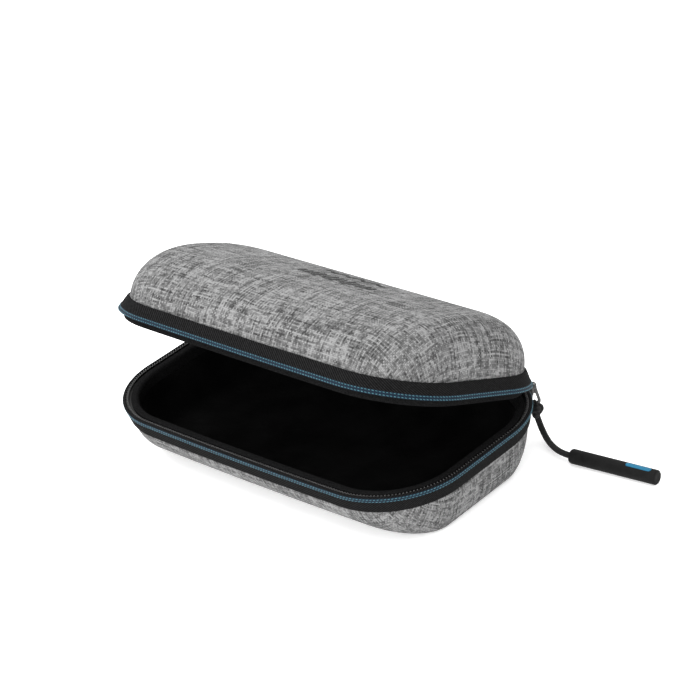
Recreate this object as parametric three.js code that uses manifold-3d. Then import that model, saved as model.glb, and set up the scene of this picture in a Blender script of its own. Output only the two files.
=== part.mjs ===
// Hard-shell headphone carrying case, in millimetres, +Z up.
// The origin is the centre of the flat underside, +X runs along the length towards
// the parked zip slider, -Y is the opening front and +Y the hinged back.
// Each half is a stack of nested shells: woven cover, foam shell, lining and rim binding.
import * as THREE from 'three';
import { mergeVertices } from 'three/addons/utils/BufferGeometryUtils.js';
import Module from 'manifold-3d';

const wasm = await Module();
wasm.setup();

// ---- Driving dimensions ----
// The rim outline is a rounded rectangle, bowed a little along its front side.
const HALF_LENGTH = 100;
const HALF_WIDTH = 56.3;
const CORNER_RADIUS = 38;
const FRONT_BOW = 2;
const CORNER_STEPS = 8;
const FRONT_STATIONS = [0.5, 0, -0.5];

// Heights of the two rims, the gap between them when closed, and the lid's rest angle.
const BASE_RIM_HEIGHT = 29;
const CLOSED_RIM_GAP = 3.6;
const REST_OPENING = THREE.MathUtils.degToRad(24.6);
const HINGE_Y = HALF_WIDTH + 1;
const HINGE_Z = BASE_RIM_HEIGHT + CLOSED_RIM_GAP / 2;

// Each half: side is the way its dome points, wallDepth the height of its zip band,
// inset how far the woven wall stands inside the rim outline, and depth the dome's own
// height. The runs are how far the dome draws in by its crown along X, Y and in the corners.
const BASE = {
  side: -1, rimHeight: BASE_RIM_HEIGHT, wallDepth: 7.75, inset: 3,
  depth: 21.25, runX: 8.1, runY: 24.4, runCorner: 27.1, power: 1.23,
};
const LID = {
  side: 1, rimHeight: BASE_RIM_HEIGHT + CLOSED_RIM_GAP, wallDepth: 4.55, inset: 4.5,
  depth: 26.3, runX: 19.4, runY: 46, runCorner: 28.8, power: 0.885,
};
const DOME_LEVELS = 6;

// The layers, by their distance inside the woven cover's outer face.
const COVER = { outer: 0, inner: 0.8 };
const FOAM = { outer: 1.1, inner: 4.1 };
const LINING = { outer: 4.5, inner: 5.2 };

// Rim profiles, as [distance outside the rim outline, depth into the half].
// The layers' rims list the points above the dome, outer face first, then inner face.
const BASE_RIMS = {
  cover: { outer: [[-3, 6.5]], inner: [[-3.8, 6.5]] },
  foam: { outer: [[-4.1, 6.2], [-2.4, 5], [-1.25, 1.2]], inner: [[-5.2, 1.2]] },
  lining: { outer: [[-6.8, 5.4]], inner: [[-7.5, 5.4]] },
};
const LID_RIMS = {
  cover: { outer: [[-4.5, 3.6]], inner: [[-5.3, 3.6]] },
  foam: { outer: [[-5.6, 3.2], [-3.1, 2.2], [-2.1, 1.2]], inner: [[-6, 1.2]] },
  lining: { outer: [], inner: [] },
};
// The lid's binding hangs in a lip just inside the coil, which tucks inside the base's coil
// when the case is shut. The lip is what reaches past LIP_START, and it fades out over
// LIP_FADE on its way back to the hinge.
const LIP_START = 1.3;
const LIP_FADE = 30;
const BASE_BINDING = [[-3.65, 0.9], [-5.45, 0.9], [-6.65, 5], [-7.6, 5], [-7.4, 0.4], [-6.7, -0.7], [-3.65, -0.9]];
const LID_BINDING = [
  [-2.95, 0.9], [-6.25, 0.9], [-8.5, 3.8], [-9.2, 3.2], [-7.3, -0.2], [-6.6, -0.7],
  [-3.45, -0.9], [-3.45, -4.3], [-2.95, -4.3],
];
const BASE_TAPE = [[-1.8, 7.4], [0.3, -0.8], [-1.1, -1.3], [-1.1, -0.4], [-0.65, -0.1], [-2.65, 7.4]];
const LID_TAPE = [[-3.4, 5.5], [0.3, -1], [-1.1, -1.25], [-1.1, -0.45], [-0.6, -0.35], [-4.1, 4.95]];

// The blue stitching band stands STITCH_LIFT off the tape's outer face.
const STITCH_START = 0.3;
const STITCH_WIDTH = 1.6;
const STITCH_LIFT = 0.3;
const STITCH_THICKNESS = 0.35;

// The coil: a round bead on the tape's free edge, ending a little before the hinge.
const COIL_OFFSET = -2.05;
const COIL_DEPTH = -1.05;
const COIL_RADIUS = 0.6;
const COIL_SIDES = 6;
const COIL_END_STATION = 2;

// End stops crimped on each tape behind the coil's ends.
const STOP_LENGTH = 3.2;
const STOP_SIZE = 1.3;
const STOP_ANGLE = THREE.MathUtils.degToRad(19);

// Hinge strips along the straight back, outside and inside.
const HINGE_HALF_LENGTH = HALF_LENGTH - CORNER_RADIUS - 0.4;
const BASE_HINGE_PANEL = [
  [-1.7, 9.5], [0.5, 0.4], [0.9, -1], [0.9, -1.6], [0.1, -1.6], [0, -0.9], [-0.5, 0.4], [-2.65, 9.5],
];
const LID_HINGE_PANEL = [
  [-3.4, 6.2], [0.4, 0.6], [0.9, -1], [0.9, -1.6], [0.1, -1.6], [0, -0.9], [-0.7, 0.4], [-4.1, 5.4],
];
const HINGE_LINING = [[-2.6, -0.2], [-2.6, -1.1], [-0.45, -1.6], [-0.5, -0.9]];

// The embroidered motif's backing patch on the lid's crown.
const MOTIF_CENTRE = [5, 5];
const MOTIF_SIZE = [50, 22];
const MOTIF_LIFT = 0.3;
const MOTIF_THICKNESS = 0.4;
const MOTIF_CELLS = [4, 8];

// The zip slider, parked on the back right corner. SLIDER_ANGLE is measured from +Y.
const SLIDER_ANGLE = THREE.MathUtils.degToRad(26);
const PLATE_LENGTH = 10;
const PLATE_HEIGHT = 6.6;
const PLATE_THICKNESS = 1;
const PLATE_CORNER = 2.4;
const PLATE_FACE = 1.25;
const PLATE_CENTRE_Z = -0.6;
const BRIDGE_STANDOFF = 4.2;
const BRIDGE_LENGTH = 6;
const BRIDGE_BAR = 1.15;

// The puller tab: a flat teardrop plate, square to the rim, with an eye round the bridge
// bar and a teardrop hole for the cord. Its neck is straight to TAB_NECK below the bar.
const EYE_RADIUS = 1.6;
const EYE_HOLE_RADIUS = 0.95;
const TAB_THICKNESS = 1;
const TAB_NECK = 2;
const TAB_END_RADIUS = 2.75;
const TAB_END_DROP = 8.4;
const TAB_HOLE_TOP_RADIUS = 0.8;
const TAB_HOLE_END_RADIUS = 1.5;
const TAB_HOLE_TOP = 4.1;
const TAB_HOLE_BOTTOM = 9.8;

// The pull cord: a loop through the tab, a knot, the free cord and its moulded grip.
const LOOP_STRAND_RADIUS = 0.75;
const LOOP_BEND_RADIUS = 1.6;
const LOOP_TOP = 8.75;
const LOOP_LENGTH = 2.55;
const KNOT_RADIUS = 2.6;
const KNOT_DROP = 14.05;
const CORD_RADIUS = 1.45;
const CORD_SIDES = 8;
const CORD_STEPS = 12;
const GRIP_RADIUS = 3.45;
const GRIP_LENGTH = 45.5;
const GRIP_SIDES = 14;
const GRIP_START = new THREE.Vector3(106.9, 46.5, 3.5);
const GRIP_HEADING = THREE.MathUtils.degToRad(5);
const INLAY_LENGTH = 13;
const INLAY_WIDTH = 2.5;
const INLAY_DEPTH = 0.8;
const INLAY_FROM_END = 3;
const INLAY_GAP = 0.3;

// ---- Materials ----
function material(color, roughness, metalness = 0) {
  return new THREE.MeshStandardMaterial({ color, roughness, metalness });
}
const HEATHER_GREY = 0x9a9a9a;
const FOAM_BLACK = 0x242424;
const VELVET_BLACK = 0x0b0b0c;
const FELT_GREY = 0x26262a;
const TAPE_BLACK = 0x1b1b1d;
const COIL_BLACK = 0x101012;
const THREAD_BLUE = 0x1f86b4;
const METAL_BLACK = 0x1a1a1c;
const CORD_BLACK = 0x141416;
const MOTIF_GREY = 0x3a3a3c;

// ---- Solid building ----
// A closed body from points and triangles, turned so that its faces point outwards.
function solid(points, triangles) {
  let volume = 0;
  for (const [a, b, c] of triangles) {
    volume += points[a].dot(new THREE.Vector3().crossVectors(points[b], points[c]));
  }
  const ordered = volume < 0 ? triangles.map(([a, b, c]) => [a, c, b]) : triangles;
  const geometry = new THREE.BufferGeometry();
  geometry.setFromPoints(points);
  geometry.setIndex(ordered.flat());
  return geometry;
}

// Two triangles for each cell between neighbouring rings of points.
function skin(ringCount, ringSize, closedRings, closedStations) {
  const triangles = [];
  for (let i = 0; i < (closedRings ? ringCount : ringCount - 1); i++) {
    for (let j = 0; j < (closedStations ? ringSize : ringSize - 1); j++) {
      const below = i * ringSize;
      const above = ((i + 1) % ringCount) * ringSize;
      const next = (j + 1) % ringSize;
      triangles.push([below + j, below + next, above + next]);
      triangles.push([below + j, above + next, above + j]);
    }
  }
  return triangles;
}

// ---- The rim outline ----
// Stations run clockwise seen from above, from the back right corner round the front
// to the back left corner. along places a station on the straight between two corners.
function outlineStations() {
  const stations = [];
  const corners = [[1, 1], [1, -1], [-1, -1], [-1, 1]];
  corners.forEach(([alongX, alongY], corner) => {
    for (let step = 0; step <= CORNER_STEPS; step++) {
      const angle = Math.PI / 2 - (corner + step / CORNER_STEPS) * Math.PI / 2;
      stations.push({ alongX, alongY, outX: Math.cos(angle), outY: Math.sin(angle) });
    }
    if (corner === 1) {
      for (const along of FRONT_STATIONS) {
        stations.push({ alongX: along, alongY: -1, outX: 0, outY: -1 });
      }
    }
  });
  return stations;
}
const STATIONS = outlineStations();

// How much wider the front half of the outline is at this X than a plain rectangle.
function frontStretch(x) {
  return 1 + FRONT_BOW / HALF_WIDTH * (1 - (x / HALF_LENGTH) ** 2);
}

// The point of one station on a rounded rectangle of these half sizes.
function outlinePoint(station, halfX, halfY, radius, z) {
  const x = station.alongX * (halfX - radius) + radius * station.outX;
  const y = station.alongY * (halfY - radius) + radius * station.outY;
  return new THREE.Vector3(x, y < 0 ? y * frontStretch(x) : y, z);
}

function height(half, depth) {
  return half.rimHeight + half.side * depth;
}

// A ring parallel to the rim outline.
function rimRing(half, [offset, depth], stations = STATIONS) {
  const z = height(half, depth);
  return stations.map((station) => outlinePoint(
    station, HALF_LENGTH + offset, HALF_WIDTH + offset, CORNER_RADIUS + offset, z));
}

// A ring of a dome layer, from 0 at the top of the wall to 1 at the crown.
function domeRing(half, layerInset, level) {
  const angle = level * Math.PI / 2;
  const drawnIn = 1 - Math.max(Math.cos(angle), 0) ** half.power;
  const inset = half.inset + layerInset;
  const depth = half.wallDepth + (half.depth - layerInset) * Math.sin(angle) ** half.power;
  const halfX = HALF_LENGTH - inset - half.runX * drawnIn;
  const halfY = HALF_WIDTH - inset - half.runY * drawnIn;
  const radius = Math.min(CORNER_RADIUS - inset - half.runCorner * drawnIn, halfY - 0.01);
  const z = height(half, depth);
  return STATIONS.map((station) => outlinePoint(station, halfX, halfY, radius, z));
}

// ---- Pieces that follow the rim ----
// One dished layer of a half: crown, outer face, rim, inner face and inner crown.
function layer(half, thickness, rim) {
  const rings = [];
  for (let i = DOME_LEVELS; i >= 0; i--) {
    rings.push(domeRing(half, thickness.outer, i / DOME_LEVELS));
  }
  for (const point of [...rim.outer, ...rim.inner]) {
    rings.push(rimRing(half, point));
  }
  for (let i = 0; i <= DOME_LEVELS; i++) {
    rings.push(domeRing(half, thickness.inner, i / DOME_LEVELS));
  }
  const size = STATIONS.length;
  const points = rings.flat();
  const triangles = skin(rings.length, size, false, true);
  const outerCrown = points.push(new THREE.Vector3(0, 0, rings[0][0].z)) - 1;
  const innerCrown = points.push(new THREE.Vector3(0, 0, rings.at(-1)[0].z)) - 1;
  const lastRing = (rings.length - 1) * size;
  for (let j = 0; j < size; j++) {
    const next = (j + 1) % size;
    triangles.push([outerCrown, next, j]);
    triangles.push([innerCrown, lastRing + j, lastRing + next]);
  }
  return solid(points, triangles);
}

// How much of the lip there is at a point of the rim: none at the hinge, all at the front.
function lipShare(y) {
  return THREE.MathUtils.smoothstep(HALF_WIDTH - 4 - y, 0, LIP_FADE);
}

// A closed profile swept right round the rim.
function ringBand(half, profile) {
  const rings = profile.map((point) => rimRing(half, point));
  rings.forEach((ring, i) => {
    const lip = -profile[i][1] - LIP_START;
    if (lip > 0) {
      for (const point of ring) {
        point.z = height(half, -LIP_START - lip * lipShare(point.y));
      }
    }
  });
  return solid(rings.flat(), skin(rings.length, STATIONS.length, true, true));
}

// A closed profile swept along some of the stations, with flat ends that keep its winding.
function stripBetween(rings, profile) {
  const size = rings[0].length;
  const last = size - 1;
  const triangles = skin(rings.length, size, true, false);
  const contour = profile.map(([offset, depth]) => new THREE.Vector2(offset, depth));
  const clockwise = THREE.ShapeUtils.isClockWise(contour);
  for (const corners of THREE.ShapeUtils.triangulateShape(contour, [])) {
    if (THREE.ShapeUtils.isClockWise(corners.map((i) => contour[i])) !== clockwise) {
      corners.reverse();
    }
    const [a, b, c] = corners.map((i) => i * size);
    triangles.push([a, b, c], [a + last, c + last, b + last]);
  }
  return solid(rings.flat(), triangles);
}

function openBand(half, profile, endStation = 0) {
  const stations = STATIONS.slice(endStation, STATIONS.length - endStation);
  return stripBetween(profile.map((point) => rimRing(half, point, stations)), profile);
}

// A profile swept along the straight back, for the hinge strips.
function backStrip(half, profile) {
  const rings = profile.map(([offset, depth]) => [HINGE_HALF_LENGTH, -HINGE_HALF_LENGTH].map(
    (x) => new THREE.Vector3(x, HALF_WIDTH + offset, height(half, depth))));
  return stripBetween(rings, profile);
}

function coilProfile() {
  const profile = [];
  for (let i = 0; i < COIL_SIDES; i++) {
    const angle = i / COIL_SIDES * Math.PI * 2;
    profile.push([
      COIL_OFFSET + COIL_RADIUS * Math.cos(angle),
      COIL_DEPTH + COIL_RADIUS * Math.sin(angle),
    ]);
  }
  return profile;
}

// The stitching band runs parallel to the tape's outer face, just below its crest.
function stitchProfile(tape) {
  const [tail, crest] = tape.map(([offset, depth]) => new THREE.Vector2(offset, depth));
  const along = tail.clone().sub(crest).normalize();
  const outward = new THREE.Vector2(along.y, -along.x);
  const corners = [
    [STITCH_START, STITCH_LIFT],
    [STITCH_START, STITCH_LIFT + STITCH_THICKNESS],
    [STITCH_START + STITCH_WIDTH, STITCH_LIFT + STITCH_THICKNESS],
    [STITCH_START + STITCH_WIDTH, STITCH_LIFT],
  ];
  return corners.map(([distance, lift]) => crest.clone()
    .addScaledVector(along, distance)
    .addScaledVector(outward, lift)
    .toArray());
}

// An end stop on the coil's line, at the back right (1) or back left (-1) corner.
function endStop(half, endSide) {
  const geometry = new THREE.BoxGeometry(STOP_LENGTH, STOP_SIZE, STOP_SIZE);
  const radius = CORNER_RADIUS + COIL_OFFSET;
  geometry.rotateZ(-endSide * STOP_ANGLE);
  geometry.translate(
    endSide * (HALF_LENGTH - CORNER_RADIUS + radius * Math.sin(STOP_ANGLE)),
    HALF_WIDTH - CORNER_RADIUS + radius * Math.cos(STOP_ANGLE),
    height(half, COIL_DEPTH + (STOP_SIZE / 2 - COIL_RADIUS)));
  return geometry;
}

// Height of the lid cover's outer face over a point near the middle of its crown.
function lidCrownHeight(x, y) {
  const reach = Math.abs(y < 0 ? y / frontStretch(x) : y);
  const drawnIn = Math.min((HALF_WIDTH - LID.inset - reach) / LID.runY, 1);
  const cosine = (1 - drawnIn) ** (1 / LID.power);
  return height(LID, LID.wallDepth + LID.depth * (1 - cosine ** 2) ** (LID.power / 2));
}

// The motif's backing patch, following the crown of the closed lid.
function motifPatch() {
  const [columns, rows] = MOTIF_CELLS;
  const points = [];
  for (const lift of [MOTIF_LIFT, MOTIF_LIFT + MOTIF_THICKNESS]) {
    for (let row = 0; row <= rows; row++) {
      for (let column = 0; column <= columns; column++) {
        const x = MOTIF_CENTRE[0] + (column / columns - 0.5) * MOTIF_SIZE[0];
        const y = MOTIF_CENTRE[1] + (row / rows - 0.5) * MOTIF_SIZE[1];
        points.push(new THREE.Vector3(x, y, lidCrownHeight(x, y) + lift));
      }
    }
  }
  const width = columns + 1;
  const top = points.length / 2;
  const triangles = [];
  for (let row = 0; row < rows; row++) {
    for (let column = 0; column < columns; column++) {
      const a = row * width + column;
      triangles.push([a, a + width + 1, a + 1], [a, a + width, a + width + 1]);
      triangles.push([top + a, top + a + 1, top + a + width + 1]);
      triangles.push([top + a, top + a + width + 1, top + a + width]);
    }
  }
  const border = [];
  for (let column = 0; column < columns; column++) border.push(column);
  for (let row = 0; row < rows; row++) border.push(row * width + columns);
  for (let column = columns; column > 0; column--) border.push(rows * width + column);
  for (let row = rows; row > 0; row--) border.push(row * width);
  border.forEach((a, i) => {
    const b = border[(i + 1) % border.length];
    triangles.push([a, b, top + b], [a, top + b, top + a]);
  });
  return solid(points, triangles);
}

// ---- Boolean joins and cuts ----
function toManifold(geometry) {
  const bare = geometry.clone();
  bare.deleteAttribute('normal');
  bare.deleteAttribute('uv');
  const merged = mergeVertices(bare);
  return new wasm.Manifold(new wasm.Mesh({
    numProp: 3,
    vertProperties: new Float32Array(merged.attributes.position.array),
    triVerts: new Uint32Array(merged.index.array),
  }));
}

function fromManifold(body) {
  const mesh = body.getMesh();
  const geometry = new THREE.BufferGeometry();
  geometry.setAttribute('position', new THREE.BufferAttribute(mesh.vertProperties, 3));
  geometry.setIndex(new THREE.BufferAttribute(mesh.triVerts, 1));
  return geometry;
}

// ---- The slider and its pull, in the slider's own frame ----
// X runs along the rim, +Y points straight out of the case and Z is up from the base rim.
function roundedRectangle(width, tall, corner) {
  const x = width / 2 - corner;
  const y = tall / 2 - corner;
  const shape = new THREE.Shape();
  shape.absarc(x, y, corner, 0, Math.PI / 2);
  shape.absarc(-x, y, corner, Math.PI / 2, Math.PI);
  shape.absarc(-x, -y, corner, Math.PI, Math.PI * 1.5);
  shape.absarc(x, -y, corner, Math.PI * 1.5, Math.PI * 2);
  return shape;
}

// A flat extrusion stood up so that its outline lies in X and Z and its depth runs along +Y.
function standUp(shape, depth, face, curveSegments) {
  const geometry = new THREE.ExtrudeGeometry(shape, { depth, bevelEnabled: false, curveSegments });
  geometry.rotateX(Math.PI / 2);
  geometry.translate(0, face + depth, 0);
  return geometry;
}

function box(x, y, z, centre) {
  return new THREE.BoxGeometry(x, y, z).translate(...centre);
}

// The slider's outer plate with its bridge.
function sliderBody() {
  const plate = standUp(roundedRectangle(PLATE_LENGTH, PLATE_HEIGHT, PLATE_CORNER),
    PLATE_THICKNESS, PLATE_FACE, 4).translate(0, 0, PLATE_CENTRE_Z);
  const foot = PLATE_FACE + PLATE_THICKNESS / 2;
  const reach = BRIDGE_STANDOFF + BRIDGE_BAR / 2;
  const post = (BRIDGE_LENGTH - BRIDGE_BAR) / 2;
  let body = toManifold(plate);
  for (const x of [-post, post]) {
    body = body.add(toManifold(box(
      BRIDGE_BAR, reach - foot, BRIDGE_BAR, [x, (reach + foot) / 2, PLATE_CENTRE_Z])));
  }
  body = body.add(toManifold(box(
    BRIDGE_LENGTH, BRIDGE_BAR, BRIDGE_BAR, [0, BRIDGE_STANDOFF, PLATE_CENTRE_Z])));
  return fromManifold(body);
}

// The tab hangs from the bridge: its own origin is the bridge bar's centre. Its outline is
// drawn with X out of the case and Y up, then turned square to the rim.
function pullerTab() {
  const outline = new THREE.Shape();
  outline.absarc(0, 0, EYE_RADIUS, 0, Math.PI);
  outline.lineTo(-EYE_RADIUS, -TAB_NECK);
  outline.absarc(0, -TAB_END_DROP, TAB_END_RADIUS, Math.PI, Math.PI * 2);
  outline.lineTo(EYE_RADIUS, -TAB_NECK);
  outline.holes.push(new THREE.Path().absarc(0, 0, EYE_HOLE_RADIUS, 0, Math.PI * 2, true));
  const hole = new THREE.Path();
  hole.absarc(0, -TAB_HOLE_TOP - TAB_HOLE_TOP_RADIUS, TAB_HOLE_TOP_RADIUS, 0, Math.PI);
  hole.absarc(0, -TAB_HOLE_BOTTOM + TAB_HOLE_END_RADIUS, TAB_HOLE_END_RADIUS, Math.PI, Math.PI * 2);
  outline.holes.push(hole);
  const plate = new THREE.ExtrudeGeometry(outline, {
    depth: TAB_THICKNESS, bevelEnabled: false, curveSegments: 8,
  });
  plate.translate(0, 0, -TAB_THICKNESS / 2);
  plate.rotateX(Math.PI / 2).rotateZ(Math.PI / 2);
  return fromManifold(toManifold(plate));
}

function tube(curve, radius, sides, steps) {
  const section = new THREE.Shape();
  section.absarc(0, 0, radius, 0, Math.PI * 2);
  const geometry = new THREE.ExtrudeGeometry(section, {
    extrudePath: curve, steps, bevelEnabled: false, curveSegments: sides,
  });
  return geometry;
}

// The cord's loop through the tab's hole, open at its foot where the knot sits.
function cordLoop() {
  const foot = -LOOP_TOP - LOOP_LENGTH;
  const points = [new THREE.Vector3(LOOP_BEND_RADIUS, 0, foot)];
  for (let i = 0; i <= 6; i++) {
    const angle = i / 6 * Math.PI;
    points.push(new THREE.Vector3(
      LOOP_BEND_RADIUS * Math.cos(angle),
      0,
      -LOOP_TOP - LOOP_BEND_RADIUS * (1 - Math.sin(angle))));
  }
  points.push(new THREE.Vector3(-LOOP_BEND_RADIUS, 0, foot));
  return tube(new THREE.CatmullRomCurve3(points), LOOP_STRAND_RADIUS, 8, 12);
}

function knot() {
  const geometry = new THREE.SphereGeometry(KNOT_RADIUS, 10, 7);
  return geometry.translate(0, 0, -KNOT_DROP);
}

// ---- The grip and its inlay, lying along +X from their own origin ----
function gripProfile() {
  const round = 0.9;
  const profile = [new THREE.Vector2(0, 0)];
  profile.push(new THREE.Vector2(GRIP_RADIUS - round, 0));
  profile.push(new THREE.Vector2(GRIP_RADIUS, round));
  profile.push(new THREE.Vector2(GRIP_RADIUS, GRIP_LENGTH - round));
  profile.push(new THREE.Vector2(GRIP_RADIUS - round, GRIP_LENGTH));
  profile.push(new THREE.Vector2(0, GRIP_LENGTH));
  return profile;
}

function inlayBlock(grow) {
  const length = INLAY_LENGTH + 2 * grow;
  const centreX = GRIP_LENGTH - INLAY_FROM_END - INLAY_LENGTH / 2;
  const shape = roundedRectangle(length, INLAY_WIDTH + 2 * grow, INLAY_WIDTH / 2 - 0.2 + grow);
  const geometry = new THREE.ExtrudeGeometry(shape, {
    depth: INLAY_DEPTH + grow + 1, bevelEnabled: false, curveSegments: 3,
  });
  return geometry.translate(centreX, 0, GRIP_RADIUS - INLAY_DEPTH - grow);
}

function gripSolid() {
  const turned = new THREE.LatheGeometry(gripProfile(), GRIP_SIDES);
  turned.rotateZ(-Math.PI / 2);
  return toManifold(turned);
}

function grip() {
  return fromManifold(gripSolid().subtract(toManifold(inlayBlock(INLAY_GAP))));
}

function inlay() {
  return fromManifold(gripSolid().intersect(toManifold(inlayBlock(0))));
}

// ---- Assembly ----
function piece(parent, name, geometry, look) {
  const mesh = new THREE.Mesh(geometry, look);
  mesh.name = name;
  parent.add(mesh);
  return mesh;
}

function addHalf(parent, prefix, half, rims, binding, tape, hingePanel, hingeName) {
  piece(parent, `${prefix}_cover`, layer(half, COVER, rims.cover), material(HEATHER_GREY, 0.95));
  piece(parent, `${prefix}_shell`, layer(half, FOAM, rims.foam), material(FOAM_BLACK, 0.8));
  piece(parent, `${prefix}_lining`, layer(half, LINING, rims.lining), material(VELVET_BLACK, 1));
  piece(parent, `${prefix}_binding`, ringBand(half, binding), material(FELT_GREY, 0.95));
  piece(parent, `${prefix}_zip_tape`, openBand(half, tape), material(TAPE_BLACK, 0.85));
  piece(parent, `${prefix}_zip_stitching`, openBand(half, stitchProfile(tape)), material(THREAD_BLUE, 0.6));
  piece(parent, `${prefix}_zip_coil`, openBand(half, coilProfile(), COIL_END_STATION),
    material(COIL_BLACK, 0.4));
  piece(parent, `${prefix}_zip_stop_right`, endStop(half, 1), material(METAL_BLACK, 0.4, 0.8));
  piece(parent, `${prefix}_zip_stop_left`, endStop(half, -1), material(METAL_BLACK, 0.4, 0.8));
  piece(parent, `hinge_panel_${hingeName}`, backStrip(half, hingePanel), material(TAPE_BLACK, 0.9));
  piece(parent, `hinge_lining_${hingeName}`, backStrip(half, HINGE_LINING), material(FELT_GREY, 0.95));
}

const group = new THREE.Group();
addHalf(group, 'base', BASE, BASE_RIMS, BASE_BINDING, BASE_TAPE, BASE_HINGE_PANEL, 'lower');

// The lid is drawn closed, then turned open about the hinge line.
const lidTurn = new THREE.Group();
lidTurn.position.set(0, HINGE_Y, HINGE_Z);
lidTurn.rotation.x = -REST_OPENING;
group.add(lidTurn);
const lid = new THREE.Group();
lid.position.set(0, -HINGE_Y, -HINGE_Z);
lidTurn.add(lid);
addHalf(lid, 'lid', LID, LID_RIMS, LID_BINDING, LID_TAPE, LID_HINGE_PANEL, 'upper');
piece(lid, 'lid_motif', motifPatch(), material(MOTIF_GREY, 0.9));

// The slider group stands on the rim, square to the corner arc.
const slider = new THREE.Group();
slider.position.set(
  HALF_LENGTH - CORNER_RADIUS + CORNER_RADIUS * Math.sin(SLIDER_ANGLE),
  HALF_WIDTH - CORNER_RADIUS + CORNER_RADIUS * Math.cos(SLIDER_ANGLE),
  BASE_RIM_HEIGHT);
slider.rotation.z = -SLIDER_ANGLE;
group.add(slider);
piece(slider, 'slider_body', sliderBody(), material(METAL_BLACK, 0.35, 0.85));

const pull = new THREE.Group();
pull.position.set(0, BRIDGE_STANDOFF, PLATE_CENTRE_Z);
slider.add(pull);
piece(pull, 'puller_tab', pullerTab(), material(METAL_BLACK, 0.4, 0.85));
piece(pull, 'cord_loop', cordLoop(), material(CORD_BLACK, 0.8));
piece(pull, 'cord_knot', knot(), material(CORD_BLACK, 0.8));

const gripGroup = new THREE.Group();
gripGroup.position.copy(GRIP_START);
gripGroup.rotation.z = GRIP_HEADING;
group.add(gripGroup);
piece(gripGroup, 'pull_grip', grip(), material(CORD_BLACK, 0.75));
piece(gripGroup, 'grip_inlay', inlay(), material(THREAD_BLUE, 0.45));

// The free cord hangs from the knot, turns along the ground and enters the grip.
group.updateMatrixWorld(true);
const cordTop = pull.localToWorld(new THREE.Vector3(0, 0, -KNOT_DROP - KNOT_RADIUS - 0.35));
const cordEnd = gripGroup.localToWorld(new THREE.Vector3(-0.35, 0, 0));
const towardsGrip = gripGroup.localToWorld(new THREE.Vector3(-11, 0, 0));
const cordCurve = new THREE.CubicBezierCurve3(
  cordTop,
  cordTop.clone().add(new THREE.Vector3(1.5, 1.5, -12.6)),
  towardsGrip,
  cordEnd);
piece(group, 'pull_cord', tube(cordCurve, CORD_RADIUS, CORD_SIDES, CORD_STEPS), material(CORD_BLACK, 0.8));

export default group;
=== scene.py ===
"""Looks of the headphone carrying case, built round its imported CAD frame.

Lengths are millimetres in the frame's axes until a mesh is made, which turns them into metres.
"""
import math

import bmesh
import bpy
import numpy as np
from mathutils import Matrix, Vector


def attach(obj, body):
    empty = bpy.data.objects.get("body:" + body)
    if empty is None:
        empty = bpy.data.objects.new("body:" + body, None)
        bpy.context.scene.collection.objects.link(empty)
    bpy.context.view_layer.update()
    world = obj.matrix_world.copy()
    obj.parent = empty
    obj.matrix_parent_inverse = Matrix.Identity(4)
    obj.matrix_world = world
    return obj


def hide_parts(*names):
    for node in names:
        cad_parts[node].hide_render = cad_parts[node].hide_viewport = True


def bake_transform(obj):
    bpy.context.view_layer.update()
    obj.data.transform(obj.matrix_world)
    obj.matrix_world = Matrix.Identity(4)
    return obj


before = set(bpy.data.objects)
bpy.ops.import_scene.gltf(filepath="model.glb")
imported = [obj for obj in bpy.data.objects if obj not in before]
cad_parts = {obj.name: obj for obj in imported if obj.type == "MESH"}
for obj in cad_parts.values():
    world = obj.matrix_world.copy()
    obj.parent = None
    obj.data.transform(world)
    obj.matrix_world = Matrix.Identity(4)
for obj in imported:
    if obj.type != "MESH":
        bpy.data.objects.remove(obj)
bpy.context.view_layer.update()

MM = 0.001

# ---- The case's driving dimensions, as in the CAD source ----
HALF_LENGTH = 100.0
HALF_WIDTH = 56.3
CORNER_RADIUS = 38.0
FRONT_BOW = 2.0
BASE_RIM_HEIGHT = 29.0
CLOSED_RIM_GAP = 3.6
REST_OPENING = math.radians(24.6)
HINGE_Y = HALF_WIDTH + 1
HINGE_Z = BASE_RIM_HEIGHT + CLOSED_RIM_GAP / 2

BASE = dict(name="base", side=-1, rim_height=BASE_RIM_HEIGHT, wall_depth=7.75, inset=3.0,
            depth=21.25, run_x=8.1, run_y=24.4, run_corner=27.1, power=1.23)
LID = dict(name="lid", side=1, rim_height=BASE_RIM_HEIGHT + CLOSED_RIM_GAP, wall_depth=4.55,
           inset=4.5, depth=26.3, run_x=19.4, run_y=46.0, run_corner=28.8, power=0.885)

# Layer faces, by their distance inside the woven cover's outer face.
COVER_OUTER, COVER_INNER = 0.0, 0.8
LINING_OUTER, LINING_INNER = 4.5, 5.2

# ---- The slider's place and the pull's sizes ----
SLIDER_ANGLE = math.radians(26)
PLATE_CENTRE_Z = -0.6
BRIDGE_STANDOFF = 4.2
LOOP_STRAND_RADIUS = 0.75
LOOP_BEND_RADIUS = 1.6
LOOP_TOP = 8.75
LOOP_FOOT_IN_KNOT = 1.0
KNOT_DROP = 14.05
KNOT_RADIUS = 2.6
CORD_RADIUS = 1.45
GRIP_RADIUS = 3.45
GRIP_LENGTH = 45.5
GRIP_START = Vector((106.9, 46.5, 3.5))
GRIP_HEADING = math.radians(5)
INLAY_LENGTH = 13.0
INLAY_WIDTH = 2.5
INLAY_FROM_END = 3.0

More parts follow.
